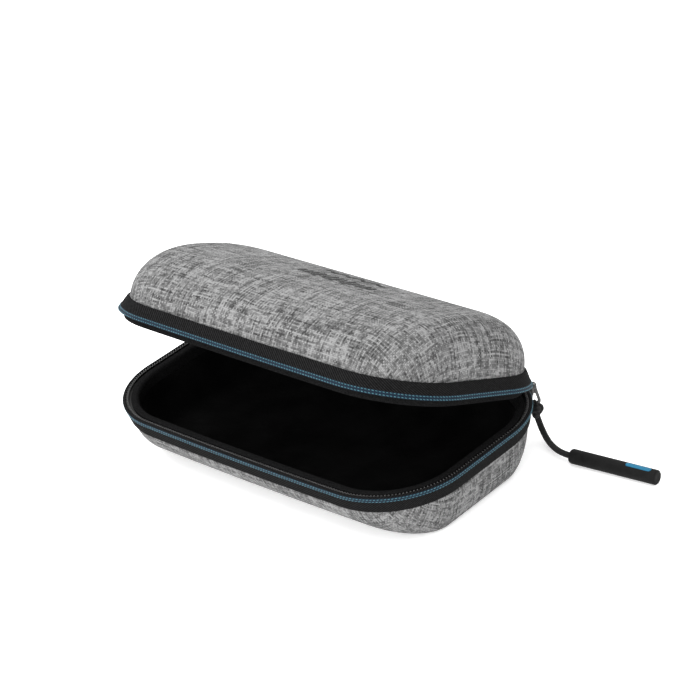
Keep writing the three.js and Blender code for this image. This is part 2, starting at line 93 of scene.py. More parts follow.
lid_opening = (Matrix.Translation((0, HINGE_Y, HINGE_Z))
               @ Matrix.Rotation(-REST_OPENING, 4, "X")
               @ Matrix.Translation((0, -HINGE_Y, -HINGE_Z)))
slider_place = (Matrix.Translation((
    HALF_LENGTH - CORNER_RADIUS + CORNER_RADIUS * math.sin(SLIDER_ANGLE),
    HALF_WIDTH - CORNER_RADIUS + CORNER_RADIUS * math.cos(SLIDER_ANGLE),
    BASE_RIM_HEIGHT)) @ Matrix.Rotation(-SLIDER_ANGLE, 4, "Z"))
pull_place = slider_place @ Matrix.Translation((0, BRIDGE_STANDOFF, PLATE_CENTRE_Z))
grip_place = Matrix.Translation(GRIP_START) @ Matrix.Rotation(GRIP_HEADING, 4, "Z")


# ---- Camera and light ----
CAMERA_AZIMUTH = math.radians(48.5)
CAMERA_ELEVATION = math.radians(30.0)
CAMERA_ROLL = math.radians(-11.0)
CAMERA_DISTANCE = 1161.6
CAMERA_LENS = 128.65
CAMERA_SHIFT = (0.0392, 0.0711)
CAMERA_AIM = 28.6


def link(made):
    """Puts an object in the scene."""
    bpy.context.scene.collection.objects.link(made)
    return made


def make_camera():
    """A long lens above the front right corner, turned a little about its own line."""
    back = Vector((
        math.sin(CAMERA_AZIMUTH) * math.cos(CAMERA_ELEVATION),
        -math.cos(CAMERA_AZIMUTH) * math.cos(CAMERA_ELEVATION),
        math.sin(CAMERA_ELEVATION)))
    level = (-back).cross(Vector((0, 0, 1))).normalized()
    upright = level.cross(-back)
    right = math.cos(CAMERA_ROLL) * level + math.sin(CAMERA_ROLL) * upright
    up = -math.sin(CAMERA_ROLL) * level + math.cos(CAMERA_ROLL) * upright
    place = Vector((0, 0, CAMERA_AIM)) + back * CAMERA_DISTANCE
    data = bpy.data.cameras.new("camera")
    data.sensor_width = 36
    data.lens = CAMERA_LENS
    data.shift_x, data.shift_y = CAMERA_SHIFT
    data.clip_start = 0.05
    camera = bpy.data.objects.new("camera", data)
    turn = Matrix((right, up, back)).transposed().to_4x4()
    camera.matrix_world = Matrix.Translation(place * MM) @ turn
    link(camera)
    bpy.context.scene.camera = camera


ROOM_STRENGTH = 1.3
LIGHT_TARGET = Vector((0, 0, 0.03))
# Name, place in metres, size in metres and power in watts.
LIGHTS = (("overhead", (-0.35, -0.15, 0.9), 0.8, 7.0),
          ("front", (0.3, -0.9, 0.5), 0.7, 4.0))


def make_lights():
    """One broad soft light overhead, a weaker one in front, and a white room."""
    bpy.context.scene.view_settings.view_transform = "Standard"
    world = bpy.data.worlds.new("room")
    world.use_nodes = True
    background = world.node_tree.nodes["Background"]
    background.inputs["Color"].default_value = (1, 1, 1, 1)
    background.inputs["Strength"].default_value = ROOM_STRENGTH
    bpy.context.scene.world = world
    for name, place, size, power in LIGHTS:
        data = bpy.data.lights.new(name, "AREA")
        data.shape = "DISK"
        data.size = size
        data.energy = power
        light = bpy.data.objects.new(name, data)
        light.location = place
        aim = LIGHT_TARGET - light.location
        light.rotation_euler = aim.to_track_quat("-Z", "Y").to_euler()
        link(light)


# ---- Materials ----
class Graph:
    """Short calls for building one material's nodes."""

    def __init__(self, name, color, roughness, metallic=0.0, **sockets):
        self.material = bpy.data.materials.new(name)
        self.material.use_nodes = True
        self.tree = self.material.node_tree
        self.shader = self.tree.nodes["Principled BSDF"]
        self.set("Base Color", (*color, 1))
        self.set("Roughness", roughness)
        self.set("Metallic", metallic)
        for socket, value in sockets.items():
            self.set(socket.replace("_", " ").title().replace("Ior", "IOR"), value)

    def set(self, socket, value):
        self.shader.inputs[socket].default_value = value

    def node(self, kind, **settings):
        made = self.tree.nodes.new(kind)
        for key, value in settings.items():
            setattr(made, key, value)
        return made

    def feed(self, socket, value):
        if isinstance(value, bpy.types.NodeSocket):
            self.tree.links.new(value, socket)
        else:
            socket.default_value = value

    def math(self, operation, *values, clamp=False):
        made = self.node("ShaderNodeMath", operation=operation, use_clamp=clamp)
        for socket, value in zip(made.inputs, values):
            self.feed(socket, value)
        return made.outputs[0]

    def plus(self, a, b):
        return self.math("ADD", a, b)

    def minus(self, a, b):
        return self.math("SUBTRACT", a, b)

    def times(self, a, b, clamp=False):
        return self.math("MULTIPLY", a, b, clamp=clamp)

    def ratio(self, a, b):
        return self.math("DIVIDE", a, b)

    def sine(self, a):
        return self.math("SINE", a)

    def uv(self):
        """The surface coordinates in millimetres."""
        split = self.node("ShaderNodeSeparateXYZ")
        self.feed(split.inputs[0], self.node("ShaderNodeUVMap", uv_map="UVMap").outputs[0])
        return split.outputs[0], split.outputs[1]

    def position(self, scale=1000.0):
        """The place on the object, in millimetres unless scaled."""
        made = self.node("ShaderNodeVectorMath", operation="SCALE")
        self.feed(made.inputs[0], self.node("ShaderNodeTexCoord").outputs["Object"])
        made.inputs["Scale"].default_value = scale
        return made.outputs[0]

    def vector(self, x, y, z=0.0):
        made = self.node("ShaderNodeCombineXYZ")
        for socket, value in zip(made.inputs, (x, y, z)):
            self.feed(socket, value)
        return made.outputs[0]

    def noise(self, vector, scale=1.0, detail=2.0, roughness=0.5):
        made = self.node("ShaderNodeTexNoise")
        for socket, value in (("Vector", vector), ("Scale", scale), ("Detail", detail),
                              ("Roughness", roughness)):
            self.feed(made.inputs[socket], value)
        return made.outputs["Fac"]

    def mix(self, factor, a, b):
        """A number between a and b."""
        made = self.node("ShaderNodeMix", data_type="FLOAT")
        for socket, value in zip(made.inputs[:4], (factor, None, a, b)):
            if value is not None:
                self.feed(socket, value)
        return made.outputs[0]

    def ramp(self, factor, *stops):
        """A colour from stops of (place, colour)."""
        made = self.node("ShaderNodeValToRGB")
        while len(made.color_ramp.elements) < len(stops):
            made.color_ramp.elements.new(0.5)
        for element, (place, color) in zip(made.color_ramp.elements, stops):
            element.position = place
            element.color = (*color, 1)
        self.feed(made.inputs[0], factor)
        return made.outputs["Color"]

    def color(self, socket):
        self.feed(self.shader.inputs["Base Color"], socket)

    def bump(self, height, depth, strength=1.0):
        """Relief of this many millimetres for a height of 0 to 1."""
        made = self.node("ShaderNodeBump")
        made.inputs["Strength"].default_value = strength
        made.inputs["Distance"].default_value = depth * MM
        self.feed(made.inputs["Height"], height)
        self.feed(self.shader.inputs["Normal"], made.outputs["Normal"])


def grey(value, blue=0.0):
    return (value, value, value + blue)


def weave_height(g, along_cell, across_cell):
    """The round back of one yarn in a plain weave's cell, from its two cell coordinates."""
    across = g.sine(g.times(across_cell, math.pi))
    along = g.sine(g.times(along_cell, math.pi))
    return g.times(across, g.plus(g.times(along, 0.5), 0.5))


YARN_PITCH = 0.84
YARN_DRIFT = 2.5
STREAK_RUN, SHARED_RUN, DYE_RUN = 3.8, 5.0, 22.0
STREAK_SHARE, SHARED_SHARE, DYE_SHARE = 0.45, 0.14, 0.41


def heather_fabric():
    """Plain weave of slubby two-tone yarns, dark and pale streaks running both ways."""
    g = Graph("heather_fabric", grey(0.24), 0.95, sheen_weight=0.04, sheen_roughness=0.5,
              specular_ior_level=0.1)
    u, v = g.uv()
    drift_u = g.noise(g.vector(u, v, 2.0), scale=0.07, detail=1.0)
    drift_v = g.noise(g.vector(u, v, 6.0), scale=0.07, detail=1.0)
    cell_u = g.ratio(g.plus(u, g.times(drift_u, YARN_DRIFT)), YARN_PITCH)
    cell_v = g.ratio(g.plus(v, g.times(drift_v, YARN_DRIFT)), YARN_PITCH)
    yarn_u, yarn_v = g.math("FLOOR", cell_u), g.math("FLOOR", cell_v)
    part_u, part_v = g.math("FRACT", cell_u), g.math("FRACT", cell_v)
    over = g.math("FLOORED_MODULO", g.plus(yarn_u, yarn_v), 2.0)

    def yarn_shade(index, cell, run, seed):
        """Shade along one yarn: its own streaks, streaks shared with neighbours, and its dye."""
        streak_place = g.vector(g.times(index, 5.17), g.ratio(run, STREAK_RUN), seed)
        shared_place = g.vector(g.ratio(cell, 3.2), g.ratio(run, SHARED_RUN), seed + 4)
        dye_place = g.vector(g.times(index, 2.31), g.ratio(run, DYE_RUN), seed + 9)
        streak = g.times(g.noise(streak_place, detail=1.0), STREAK_SHARE)
        shared = g.times(g.noise(shared_place, detail=1.0), SHARED_SHARE)
        dye = g.times(g.noise(dye_place, detail=0.0), DYE_SHARE)
        return g.plus(g.plus(streak, shared), dye)

    warp = yarn_shade(yarn_u, cell_u, v, 3.0)
    weft = yarn_shade(yarn_v, cell_v, u, 17.0)
    shade = g.mix(g.plus(g.times(over, 0.56), 0.22), warp, weft)
    tuft = g.noise(g.vector(g.times(yarn_u, 3.9), g.times(yarn_v, 4.7), 1.0))
    tone = g.plus(g.times(shade, 0.92), g.times(tuft, 0.08))
    height = g.mix(over, weave_height(g, part_v, part_u), weave_height(g, part_u, part_v))
    # Painted shade and highlight: each yarn is painted a little darker where it dips under its
    # neighbours and a little lighter on its crown.
    tone = g.plus(tone, g.times(g.minus(height, 0.35), 0.05))
    g.color(g.ramp(tone, (0.40, grey(0.03)), (0.46, grey(0.08)), (0.51, grey(0.13)),
                   (0.58, grey(0.24))))
    g.bump(g.plus(height, g.times(shade, 0.5)), 0.18, 0.8)
    return g.material


def zip_tape_fabric():
    """Black tape in a twill of slanting ribs."""
    g = Graph("zip_tape_fabric", grey(0.006), 0.9, specular_ior_level=0.03)
    u, v = g.uv()
    slant = g.times(v, 1.3)
    line = g.math("FRACT", g.ratio(g.plus(u, slant), 1.5))
    ridge = g.sine(g.times(line, math.pi))
    thread_rows = g.sine(g.times(v, 2 * math.pi / 0.45))
    fuzz = g.noise(g.position(), scale=1.2, detail=3.0)
    # Painted light and shade: the ribs' crests are painted paler and the grooves between them
    # darker; the fuzz is random tone.
    tone = g.plus(g.times(ridge, 0.5), g.times(fuzz, 0.5))
    g.color(g.ramp(tone, (0.3, grey(0.0015)), (0.55, grey(0.006)), (0.8, grey(0.018, 0.0005))))
    g.bump(g.plus(ridge, g.times(thread_rows, 0.15)), 0.2, 0.8)
    return g.material


def felt():
    """Dark grey brushed knit of the rim binding."""
    g = Graph("felt", grey(0.005), 1.0, specular_ior_level=0.02)
    u, v = g.uv()
    rib = g.sine(g.times(u, 2 * math.pi / 0.55))
    row = g.sine(g.times(v, 2 * math.pi / 0.7))
    fuzz = g.noise(g.position(), scale=3.0, detail=4.0, roughness=0.7)
    knit = g.times(rib, row)
    g.color(g.ramp(fuzz, (0.38, grey(0.001)), (0.62, grey(0.014, 0.0004))))
    g.bump(g.plus(fuzz, g.times(knit, 0.35)), 0.15, 0.6)
    return g.material


def velvet():
    """Near-black short pile, brushed in soft patches."""
    g = Graph("velvet", grey(0.002), 1.0, sheen_weight=0.02, sheen_roughness=0.35,
              specular_ior_level=0.02)
    place = g.position()
    patches = g.noise(place, scale=0.06, detail=2.0)
    pile = g.noise(place, scale=4.5, detail=3.0)
    g.color(g.ramp(patches, (0.35, grey(0.0015)), (0.7, grey(0.004))))
    g.bump(g.plus(pile, g.times(patches, 2.0)), 0.12, 0.5)
    return g.material


def foam():
    """Moulded closed-cell foam, seen only where a half's layers part."""
    g = Graph("foam", grey(0.02), 0.8)
    cells = g.node("ShaderNodeTexVoronoi")
    g.feed(cells.inputs["Vector"], g.position())
    cells.inputs["Scale"].default_value = 2.5
    g.color(g.ramp(cells.outputs["Distance"], (0.0, grey(0.026)), (0.8, grey(0.012))))
    g.bump(cells.outputs["Distance"], 0.08, 0.5)
    return g.material


def thread(name, dark, light, gloss=0.55):
    """Twisted sewing thread; its plies run along the stitch."""
    g = Graph(name, light, gloss, sheen_weight=0.05, specular_ior_level=0.2)
    u, v = g.uv()
    twist = g.sine(g.times(g.plus(u, g.times(v, 0.35)), 26.0))
    fibre = g.noise(g.position(), scale=1.3, detail=3.0)
    # Painted shade and highlight: the grooves of the twist are painted darker and the plies'
    # crests paler; the fibre noise is random tone.
    tone = g.plus(g.times(twist, 0.12), fibre)
    g.color(g.ramp(tone, (0.25, dark), (0.7, light)))
    g.bump(twist, 0.03, 0.6)
    return g.material


def braid(name, shade, pitch, turns):
    """Braided cord sleeve; u runs along it and v once round it, from 0 to 1."""
    g = Graph(name, grey(shade), 0.8, sheen_weight=0.03, specular_ior_level=0.12)
    u, v = g.uv()
    along = g.ratio(u, pitch)
    around = g.times(v, turns)
    one = g.sine(g.times(g.plus(along, around), 2 * math.pi))
    two = g.sine(g.times(g.minus(along, around), 2 * math.pi))
    weave = g.times(one, two)
    fuzz = g.noise(g.position(), scale=4.0, detail=3.0)
    # Painted light and shade: the cord is painted paler where its strands stand up at the
    # crossings and darker where they sink; the fuzz is random tone.
    tone = g.plus(g.times(weave, 0.25), fuzz)
    g.color(g.ramp(tone, (0.3, grey(shade * 0.5)), (0.8, grey(shade * 1.8))))
    g.bump(g.plus(weave, g.times(fuzz, 0.4)), 0.12, 0.7)
    return g.material


def nylon():
    """Black monofilament of the zip coil."""
    g = Graph("nylon", grey(0.04), 0.35, specular_ior_level=0.4)
    streaks = g.noise(g.position(), scale=1.5, detail=2.0)
    g.color(g.ramp(streaks, (0.3, grey(0.04)), (0.7, grey(0.09))))
    g.feed(g.shader.inputs["Roughness"], g.mix(streaks, 0.25, 0.5))
    return g.material


def lacquered_metal():
    """Black lacquer on die-cast zinc, rubbed paler along its edges."""
    g = Graph("lacquered_metal", grey(0.012), 0.4, specular_ior_level=0.4, coat_weight=0.1,
              coat_roughness=0.3)
    grain = g.noise(g.position(), scale=1.1, detail=4.0)
    edge = g.node("ShaderNodeNewGeometry").outputs["Pointiness"]
    worn = g.times(g.minus(edge, 0.52), 9.0, clamp=True)
    wear = g.times(worn, g.plus(grain, 0.2), clamp=True)
    g.color(g.ramp(wear, (0.0, grey(0.018)), (0.8, grey(0.07))))
    g.feed(g.shader.inputs["Roughness"], g.mix(grain, 0.24, 0.5))
    g.bump(grain, 0.02, 0.5)
    return g.material


def moulded_rubber():
    """Matt black rubber of the grip, with a fine eroded mould finish."""
    g = Graph("moulded_rubber", grey(0.006), 0.6, specular_ior_level=0.07)
    place = g.position()
    grain = g.noise(place, scale=6.0, detail=3.0)
    smear = g.noise(place, scale=0.3, detail=2.0)
    g.color(g.ramp(smear, (0.3, grey(0.005)), (0.7, grey(0.009))))
    g.feed(g.shader.inputs["Roughness"], g.mix(smear, 0.5, 0.72))
    g.bump(grain, 0.03, 0.5)
    return g.material


def blue_inlay():
    """Bright blue soft plastic let into the grip."""
    g = Graph("blue_inlay", (0.008, 0.16, 0.32), 0.5, specular_ior_level=0.2)
    place = g.position()
    smear = g.noise(place, scale=0.5, detail=2.0)
    g.color(g.ramp(smear, (0.3, (0.004, 0.105, 0.195)), (0.7, (0.007, 0.13, 0.235))))
    g.bump(g.noise(place, scale=5.0), 0.015, 0.4)
    return g.material


def floor_paint():
    """Matt white sweep."""
    g = Graph("floor_paint", grey(0.95), 0.9, specular_ior_level=0.0,
              emission_color=(1, 1, 1, 1), emission_strength=0.35)
    mottle = g.noise(g.position(1.0), scale=3.0)
    g.color(g.ramp(mottle, (0.3, grey(0.945)), (0.7, grey(0.955))))
    return g.material


HEATHER = heather_fabric()
TAPE = zip_tape_fabric()
FELT = felt()
VELVET = velvet()
FOAM = foam()
BLUE_THREAD = thread("blue_thread", (0.014, 0.073, 0.105), (0.072, 0.19, 0.222))
BLUE_RIBBON = thread("blue_ribbon", (0.0006, 0.005, 0.011), (0.003, 0.016, 0.034), 0.85)
MOTIF_THREAD = thread("motif_thread", grey(0.006), grey(0.028))
BRAID = braid("cord_braid", 0.012, 1.5, 3)
NYLON = nylon()
METAL = lacquered_metal()
RUBBER = moulded_rubber()
INLAY = blue_inlay()


# ---- Mesh making ----
def add_object(name, points, faces, uvs, material, place=None):
    """A smooth mesh from points in millimetres; uvs hold one pair for each face corner."""
    mesh = bpy.data.meshes.new(name)
    points = np.asarray(points, float)
    if place is not None:
        turn = np.array(place)
        points = points @ turn[:3, :3].T + turn[:3, 3]
    mesh.from_pydata((points * MM).tolist(), [], [list(map(int, f)) for f in faces])
    layer = mesh.uv_layers.new(name="UVMap")
    layer.data.foreach_set("uv", np.asarray(uvs, np.float32).ravel())
    mesh.polygons.foreach_set("use_smooth", [True] * len(mesh.polygons))
    mesh.materials.append(material)
    mesh.update()
    return link(bpy.data.objects.new(name, mesh))


def face_outwards(made):
    """Turns a closed mesh's faces the same way, outwards."""
    kit = bmesh.new()
    kit.from_mesh(made.data)
    bmesh.ops.recalc_face_normals(kit, faces=kit.faces)
    kit.to_mesh(made.data)
    kit.free()
    return made


def grid_faces(rows, columns, close_rows, close_columns):
    """Quads of a grid, and for each corner its (row, column) before wrapping."""
    row = np.arange(rows if close_rows else rows - 1)
    column = np.arange(columns if close_columns else columns - 1)
    r, c = (a.ravel() for a in np.meshgrid(row, column, indexing="ij"))
    corners = [(r, c), (r, c + 1), (r + 1, c + 1), (r + 1, c)]
    faces = np.stack([(a % rows) * columns + b % columns for a, b in corners], 1)
    return faces, corners


def grid_object(name, points, u, v, material, close_rows=False, close_columns=False,
                caps=False, place=None):
    """A surface over points[row, column]. u and v give its coordinates, with one more row or
    column than the points where that way is closed. caps fill the first and last column."""
    rows, columns = points.shape[:2]
    faces, corners = grid_faces(rows, columns, close_rows, close_columns)
    uvs = np.stack([np.stack([u[a, b], v[a, b]], 1) for a, b in corners], 1)
    faces = faces.tolist()
    uvs = uvs.reshape(-1, 2).tolist()
    if caps:
        for column in (0, columns - 1):
            faces.append([r * columns + column for r in range(rows)])
            uvs.extend([[u[r, column], v[r, column]] for r in range(rows)])
    made = add_object(name, points.reshape(-1, 3), faces, uvs, material, place)
    return face_outwards(made)


def running_length(path):
    """Distance along a path at each of its points."""
    return np.concatenate([[0], np.cumsum(np.linalg.norm(np.diff(path, axis=0), axis=1))])


def steps_along(points, axis):
    """Running length of a grid of points along one of its ways."""
    step = np.linalg.norm(np.diff(points, axis=axis), axis=2)
    zero = np.zeros_like(np.take(step, [0], axis=axis))
    return np.concatenate([zero, np.cumsum(step, axis=axis)], axis=axis)


def wire(name, path, radius, sides, material, place=None):
    """A tube along a path of points, capped at both ends; v runs once round it."""
    path = np.asarray(path, float)
    ahead = np.gradient(path, axis=0)
    ahead /= np.linalg.norm(ahead, axis=1, keepdims=True)
    side = np.zeros_like(path)
    start = np.cross(ahead[0], (0.3, 0.2, 1.0))
    side[0] = start / np.linalg.norm(start)
    for i in range(1, len(path)):
        turned = side[i - 1] - ahead[i] * np.dot(side[i - 1], ahead[i])
        side[i] = turned / np.linalg.norm(turned)
    other = np.cross(ahead, side)
    angle = np.arange(sides) * 2 * math.pi / sides
    points = path[None] + radius * (
        np.cos(angle)[:, None, None] * side[None] + np.sin(angle)[:, None, None] * other[None])
    u = np.tile(running_length(path), (sides + 1, 1))
    v = np.tile((np.arange(sides + 1) / sides)[:, None], (1, len(path)))
    return grid_object(name, points, u, v, material, close_rows=True, caps=True, place=place)


# ---- The rim outline ----
CORNER_STEPS = 22
LONG_STEPS = 26
SHORT_STEPS = 8


def outline_stations():
    """Stations clockwise from the back right corner. Each row places an arc's centre as shares
    of the straights' half lengths, then gives the outward direction."""
    rows = []
    corners = [(1, 1), (1, -1), (-1, -1), (-1, 1)]
    straights = [SHORT_STEPS, LONG_STEPS, SHORT_STEPS, 0]
    for corner, ((along_x, along_y), steps) in enumerate(zip(corners, straights)):
        for step in range(CORNER_STEPS + 1):
            angle = math.pi / 2 - (corner + step / CORNER_STEPS) * math.pi / 2
            rows.append((along_x, along_y, math.cos(angle), math.sin(angle)))
        next_x, next_y = corners[(corner + 1) % 4]
        out = rows[-1][2:]
        for step in range(1, steps):
            share = step / steps
            rows.append((along_x + (next_x - along_x) * share,
                         along_y + (next_y - along_y) * share, *out))
    return np.array(rows)


def back_stations():
    """Stations along the straight back, from the back left corner to the back right one."""
    share = np.linspace(-1, 1, LONG_STEPS + 1)[1:-1]
    return np.stack([share, np.ones_like(share), np.zeros_like(share), np.ones_like(share)], 1)


ZIP_STATIONS = outline_stations()
ALL_STATIONS = np.concatenate([ZIP_STATIONS, back_stations()])


def front_stretch(x):
    """How far the front is stretched forward at x, so that it bows out in its middle."""
    return 1 + FRONT_BOW / HALF_WIDTH * (1 - (x / HALF_LENGTH) ** 2)


def outline_points(stations, half_x, half_y, radius, z):
    """A rounded oblong's points at the stations, with its front bowed."""
    x = stations[:, 0] * (half_x - radius) + radius * stations[:, 2]
    y = stations[:, 1] * (half_y - radius) + radius * stations[:, 3]
    y = np.where(y < 0, y * front_stretch(x), y)
    return np.stack([x, y, np.broadcast_to(z, x.shape)], 1)


def height(half, depth):
    """The height at rest of a depth into a half, before the lid is turned open."""
    return half["rim_height"] + half["side"] * depth


def rim_ring(half, offset, depth, stations=ALL_STATIONS):
    """A ring this far outside the rim outline and this deep into the half."""
    return outline_points(stations, HALF_LENGTH + offset, HALF_WIDTH + offset,
                          CORNER_RADIUS + offset, height(half, depth))


def dome_ring(half, layer_inset, level):
    """A ring of a dome layer, from 0 at the top of its wall to 1 at its crown."""
    angle = level * math.pi / 2
    drawn_in = 1 - max(math.cos(angle), 0.0) ** half["power"]
    inset = half["inset"] + layer_inset
    depth = half["wall_depth"] + (half["depth"] - layer_inset) * math.sin(angle) ** half["power"]
    half_x = HALF_LENGTH - inset - half["run_x"] * drawn_in
    half_y = HALF_WIDTH - inset - half["run_y"] * drawn_in
    radius = min(CORNER_RADIUS - inset - half["run_corner"] * drawn_in, half_y - 0.01)
    return outline_points(ALL_STATIONS, half_x, half_y, radius, height(half, depth))


def lid_crown_height(x, y):
    """Height of the closed lid's cover over a point near the middle of its crown."""
    reach = abs(y / front_stretch(x) if y < 0 else y)
    drawn_in = min((HALF_WIDTH - LID["inset"] - reach) / LID["run_y"], 1.0)
    cosine = (1 - drawn_in) ** (1 / LID["power"])
    return height(LID, LID["wall_depth"] + LID["depth"] * (1 - cosine ** 2) ** (LID["power"] / 2))


def place_of(half):
    return lid_opening if half is LID else None


# ---- The layers of a half ----
def dish(name, half, faces_at, rim, material, levels):
    """A dished layer: its outer face from crown to rim, round the rim's points, then its
    inner face back to the crown. Its coordinates are those of a flat sheet laid over it,
    whose yarns run straight over the crown and bend round the corners on the walls."""
    outer, inner = faces_at
    sweep = np.linspace(1, 0, levels)
    rings = [dome_ring(half, outer, level) for level in sweep]
    rings += [rim_ring(half, *point) for point in rim]
    rings += [dome_ring(half, inner, level) for level in sweep[::-1]]
    points = np.stack(rings)
    sunk = (steps_along(points, 0) - steps_along(points[..., :2], 0))[..., None]
    count = len(rings)
    middle = count // 2
    sunk[middle:] = 2 * sunk[middle] - sunk[middle:]
    flat = points[..., :2] + ALL_STATIONS[:, 2:] * sunk
    flat = np.concatenate([flat, flat[:, :1]], 1)
    columns = points.shape[1]
    faces, corners = grid_faces(count, columns, False, True)
    faces = faces.tolist()
    uvs = np.stack([flat[a, b] for a, b in corners], 1).reshape(-1, 2).tolist()
    vertices = points.reshape(-1, 3).tolist()
    for ring, order in ((0, -1), (count - 1, 1)):
        centre = len(vertices)
        vertices.append([0.0, 0.0, points[ring, 0, 2]])
        for j in range(columns):
            k = (j + 1) % columns
            faces.append([centre, ring * columns + j, ring * columns + k][::order])
            uvs.extend([[0.0, 0.0], flat[ring, j].tolist(), flat[ring, j + 1].tolist()][::order])
    return face_outwards(add_object(name, vertices, faces, uvs, material, place_of(half)))


def rounded(profile, radius, steps=5):
    """A closed profile with its corners rounded as far as their sides allow."""
    corners = np.array(profile, float)
    result = []
    for before, corner, after in zip(np.roll(corners, 1, 0), corners, np.roll(corners, -1, 0)):
        back, forth = before - corner, after - corner
        reach = min(radius, 0.45 * np.linalg.norm(back), 0.45 * np.linalg.norm(forth))
        start = corner + back / np.linalg.norm(back) * reach
        end = corner + forth / np.linalg.norm(forth) * reach
        for t in np.linspace(0, 1, steps):
            result.append((1 - t) ** 2 * start + 2 * t * (1 - t) * corner + t ** 2 * end)
    return np.array(result)


LIP_START = 1.3
LIP_CLEAR_OF_HINGE = 4
LIP_FADE = 30


def lip_height(stations):
    """How much of the lid's lip there is at each station: none at the hinge, all at the front."""
    y = outline_points(stations, HALF_LENGTH, HALF_WIDTH, CORNER_RADIUS, 0)[:, 1]
    share = np.clip((HALF_WIDTH - LIP_CLEAR_OF_HINGE - y) / LIP_FADE, 0, 1)
    return share * share * (3 - 2 * share)


def band(name, half, profile, material, stations=ALL_STATIONS, closed=True):
    """A closed profile of (offset, depth) pairs swept along the rim. What hangs more than
    LIP_START below the rim is the lip, which fades out at the hinge."""
    kept = lip_height(stations)
    rings = []
    for offset, depth in profile:
        faded = -LIP_START + (depth + LIP_START) * kept
        rings.append(rim_ring(half, offset, np.where(depth < -LIP_START, faded, depth), stations))
    points = np.stack(rings)
    u = steps_along(points, 1)
    u = np.tile(u.mean(0), (len(profile) + 1, 1))
    if closed:
        gap = np.linalg.norm(points[:, 0] - points[:, -1], axis=1).mean()
        u = np.concatenate([u, u[:, -1:] + gap], 1)
    around = running_length(np.concatenate([profile, profile[:1]]))
    v = np.tile(around[:, None], (1, u.shape[1]))
    return grid_object(name, points, u, v, material, close_rows=True, close_columns=closed,
                       caps=not closed, place=place_of(half))


# Rim profiles as (offset outside the rim outline, depth into the half).
BINDINGS = {
    "base": [(-3.65, 1.0), (-5.3, 0.9), (-6.6, 5.3), (-7.75, 5.5), (-7.55, 0.4), (-6.6, -0.8),
             (-3.65, -0.8)],
    "lid": [(-2.95, 0.9), (-6.2, 0.9), (-8.5, 4.0), (-9.55, 4.3), (-7.5, -0.3), (-6.5, -0.8),
            (-3.55, -0.9), (-3.5, -4.35), (-2.9, -4.35)],
}
TAPES = {
    "base": [(-3.05, 7.9), (-2.0, 7.7), (-1.5, 6.7), (0.3, -0.8), (-1.25, -1.4), (-1.25, -0.5),
             (-0.65, -0.1), (-2.9, 7.4)],
    "lid": [(-4.65, 5.75), (-3.75, 5.85), (-3.1, 5.2), (0.3, -1.0), (-1.25, -1.35), (-1.25, -0.45),
            (-0.6, -0.35), (-4.35, 5.0)],
}
COVER_RIMS = {
    "base": [(-3.0, 7.0), (-3.1, 6.4), (-3.7, 6.4)],
    "lid": [(-4.5, 4.0), (-4.6, 3.5), (-5.3, 3.5)],
}
LINING_RIMS = {"base": [(-6.75, 5.2), (-7.5, 5.2)], "lid": [(-8.85, 4.0), (-9.45, 4.0)]}
BINDING_ROUNDING = 0.7
TAPE_ROUNDING = 0.5
# The tape's outer face, from the crest beside the coil to its edge on the cover.
TAPE_FACES = {"base": ((0.3, -0.8), (-1.8, 7.4)), "lid": ((0.3, -1.0), (-3.4, 5.5))}
# The blue ribbon on that face: how far down it reaches, its rise off it and its foot in it.
RIBBON_WIDTH = 2.25
RIBBON_RISE = 0.1
RIBBON_FOOT = -0.2
RIBBON_ROUNDING = 0.12


def tape_face(half, distance, lift):
    """(offset, depth) of a point this far down the tape's outer face and off it."""
    crest, tail = (np.array(p) for p in TAPE_FACES[half["name"]])
    along = (tail - crest) / np.linalg.norm(tail - crest)
    outward = np.array([along[1], -along[0]])
    return crest + along * distance + outward * lift


# ---- Stitches and coil: small repeated parts along the rim ----
STITCH_PITCH = 1.6
STITCH_LENGTH = STITCH_PITCH * 0.62
STITCH_RADIUS = 0.19
STITCH_LIFT = 0.16
STITCH_SLANT = 0.16
STITCH_ROWS = (0.4, 1.75)
COIL_PLACES = {"base": (-1.85, -0.85), "lid": (-2.2, -0.55)}
COIL_PITCH = 1.6
COIL_HALF_WIDTH = 0.45
COIL_HALF_HEIGHT = 0.32
COIL_WIRE_RADIUS = 0.22
COIL_TURN_STEPS = 12
COIL_CROSSING_SPEED = 0.85
COIL_CORNER_SHARE = 0.25


def rim_path(half, offset, depth, spacing, stations=ZIP_STATIONS):
    """Evenly spaced points along the rim with their running direction."""
    ring = rim_ring(half, offset, depth, stations)
    length = running_length(ring)
    count = max(int(length[-1] / spacing), 2)
    at = (np.arange(count) + 0.5) * length[-1] / count
    points = np.stack([np.interp(at, length, ring[:, k]) for k in range(3)], 1)
    ahead = np.gradient(points, axis=0)
    return points, ahead / np.linalg.norm(ahead, axis=1, keepdims=True)


def capsule(length, radius):
    """A short thread, fat in the middle, along X: its points and faces."""
    sides, rings = 6, 5
    points = []
    for i in range(rings):
        t = -1 + 2 * i / (rings - 1)
        fat = radius * (1 - 0.55 * t * t) ** 0.5
        sag = radius * 0.5 * t * t
        for j in range(sides):
            angle = 2 * math.pi * j / sides
            points.append((t * length / 2, fat * math.cos(angle), fat * math.sin(angle) - sag))
    faces, _ = grid_faces(rings, sides, False, True)
    faces = faces.tolist()
    faces.append(list(range(sides))[::-1])
    faces.append([(rings - 1) * sides + j for j in range(sides)])
    return np.array(points), faces


def scatter(name, shape, places, axes, material, place=None):
    """One mesh holding the shape at each place; axes are its three directions there."""
    points, faces = shape
    first_points = (np.arange(len(places)) * len(points))[:, None]
    all_points = (places[:, None] + np.einsum("nij,pi->npj", axes, points)).reshape(-1, 3)
    all_faces, uvs = [], []
    for face in faces:
        all_faces.extend((np.array(face)[None] + first_points).tolist())
        uvs.extend(points[face][:, :2].tolist() * len(places))
    return face_outwards(add_object(name, all_points, all_faces, uvs, material, place))


